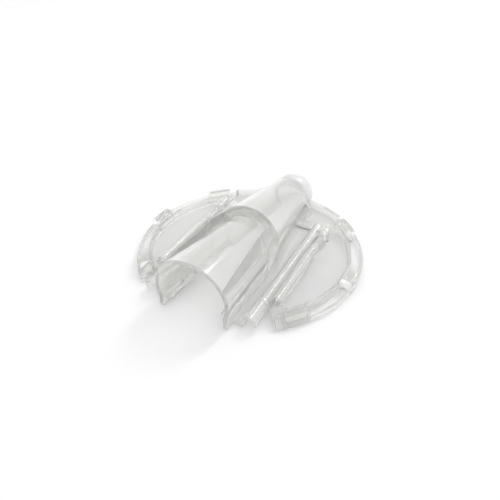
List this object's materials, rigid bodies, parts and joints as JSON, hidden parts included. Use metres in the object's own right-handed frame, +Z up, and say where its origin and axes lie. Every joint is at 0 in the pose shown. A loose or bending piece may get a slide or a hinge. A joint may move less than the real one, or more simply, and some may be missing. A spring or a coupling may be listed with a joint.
{
  "type": "cheek retractor",
  "caption": "Folding clear plastic cheek retractor: a tunnel-shaped saddle with a rounded tail and a hinged half-disc wing with a castellated rim on each side.",
  "frame": {"origin": "middle of the overall length and width, on the flat surface the part lies on", "axes": "+Y towards the rounded tail, +X towards the right wing seen from the open front of the tunnel, +Z up"},
  "size_m": [0.074, 0.0762, 0.0201],
  "materials": {
    "saddle_plastic": "clear, polished",
    "wing_plastic": "clear, polished",
    "panel_plastic": "clear, thin",
    "nose_plastic": "clear with a faint milky haze",
    "pin_plastic": "smoky brown, translucent"
  },
  "bodies": {
    "saddle": {"tunnel_roof": "saddle_plastic", "left_tunnel_side": "saddle_plastic", "right_tunnel_side": "saddle_plastic", "left_shoulder": "saddle_plastic", "right_shoulder": "saddle_plastic", "step_wall": "saddle_plastic", "tail_shell": "saddle_plastic", "nose_cap": "nose_plastic", "left_flange": "saddle_plastic", "right_flange": "saddle_plastic", "left_ridge": "saddle_plastic", "right_ridge": "saddle_plastic", "left_front_clip": "saddle_plastic", "right_front_clip": "saddle_plastic", "left_grip_rail": "saddle_plastic", "right_grip_rail": "saddle_plastic", "left_rear_deck": "saddle_plastic", "right_rear_deck": "saddle_plastic", "left_rear_hook": "saddle_plastic", "right_rear_hook": "saddle_plastic", "left_hinge_ears": "saddle_plastic", "right_hinge_ears": "saddle_plastic", "left_hinge_pin": "pin_plastic", "right_hinge_pin": "pin_plastic"},
    "left_wing": {"left_wing_knuckle": "wing_plastic", "left_rear_knuckle": "wing_plastic", "left_wing_rim": "wing_plastic", "left_rim_blocks": "wing_plastic", "left_wing_panel": "panel_plastic", "left_wing_leg": "wing_plastic"},
    "right_wing": {"right_wing_knuckle": "wing_plastic", "right_rear_knuckle": "wing_plastic", "right_wing_rim": "wing_plastic", "right_rim_blocks": "wing_plastic", "right_wing_panel": "panel_plastic", "right_wing_leg": "wing_plastic"}
  },
  "joints": [
    {"name": "left_wing_fold", "type": "hinge", "parent": "saddle", "child": "left_wing", "pos_m": [-0.02, 0, 0.0039], "axis": [0, 1, 0], "range_deg": [0, 110]},
    {"name": "right_wing_fold", "type": "hinge", "parent": "saddle", "child": "right_wing", "pos_m": [0.02, 0, 0.0039], "axis": [0, -1, 0], "range_deg": [0, 110]}
  ]
}
